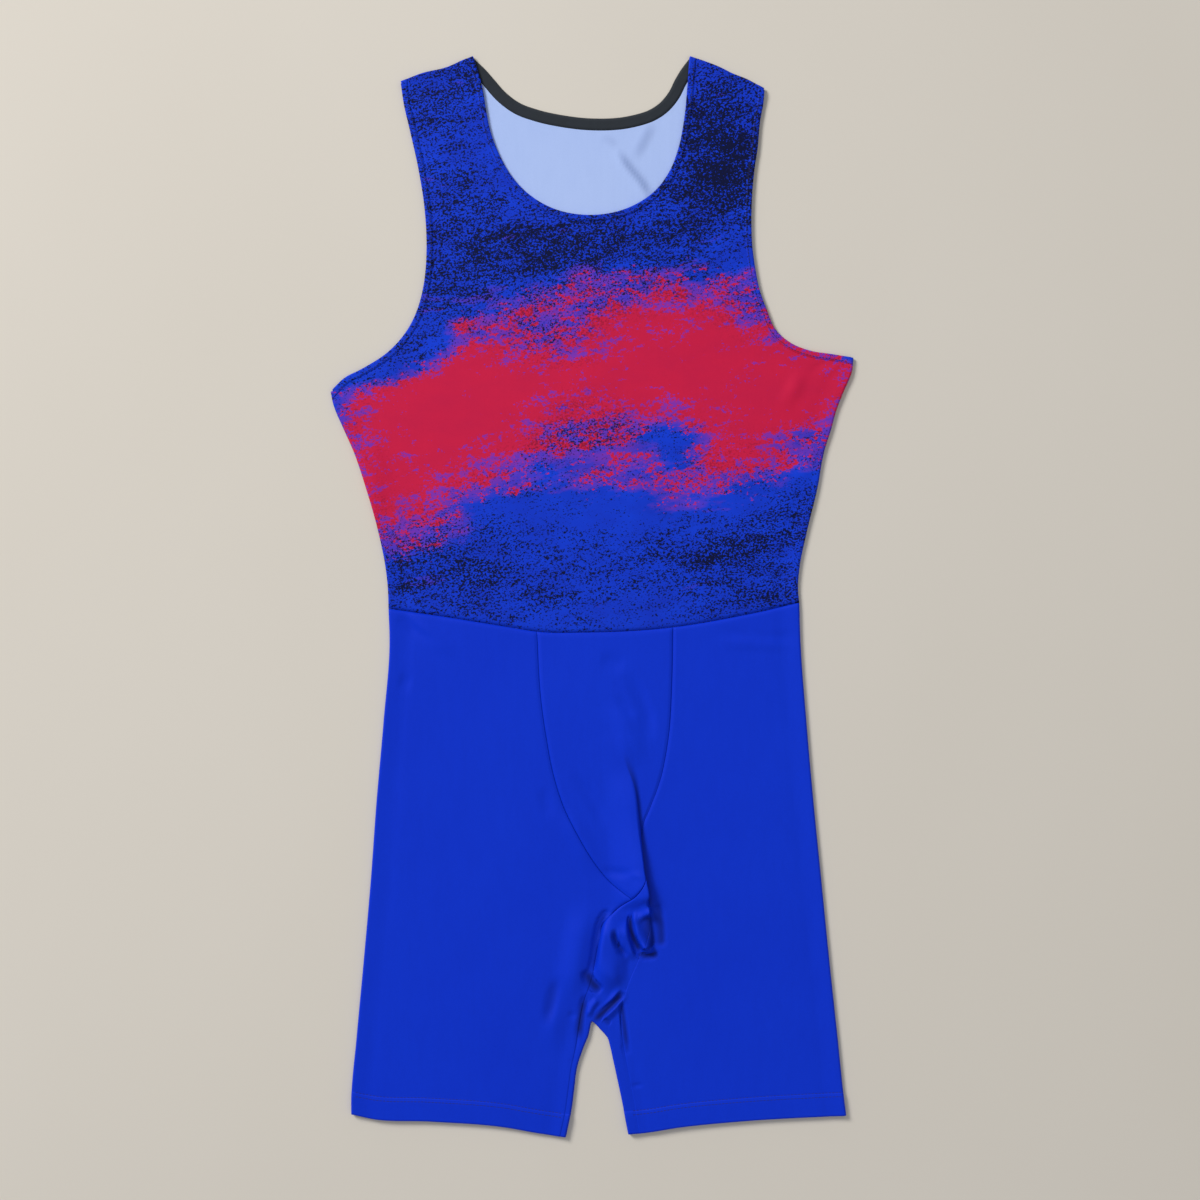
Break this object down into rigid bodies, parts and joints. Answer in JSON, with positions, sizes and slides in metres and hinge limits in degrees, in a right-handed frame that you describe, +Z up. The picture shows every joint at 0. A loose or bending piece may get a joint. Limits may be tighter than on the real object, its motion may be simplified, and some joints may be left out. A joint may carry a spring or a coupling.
{
  "type": "track unitard laid flat",
  "caption": "Sleeveless one-piece track suit with short fitted legs, laid flat with its front up and bunched at the crotch.",
  "frame": {"origin": "centre of the bounding box's bottom face, on the surface the garment lies on", "axes": "+Y from the leg hems to the shoulders, +X to the right as seen from above, which is the wearer's left, +Z up"},
  "size_m": [0.4854, 1.0034, 0.0108],
  "materials": {
    "printed_knit": "smooth matt stretch knit, printed in blue, near-black and red",
    "royal_knit": "smooth matt stretch knit, plain royal blue",
    "band_knit": "smooth matt stretch knit, printed like the bodice",
    "dark_tape": "matt charcoal tape"
  },
  "bodies": {
    "root": {"front_bodice": "printed_knit", "back_bodice": "printed_knit", "front_neck_band": "band_knit", "back_neck_tape": "dark_tape", "right_armhole_band": "band_knit", "left_armhole_band": "band_knit", "right_leg": "royal_knit", "left_leg": "royal_knit", "front_panel": "royal_knit", "crotch_gusset": "royal_knit"}
  },
  "joints": []
}
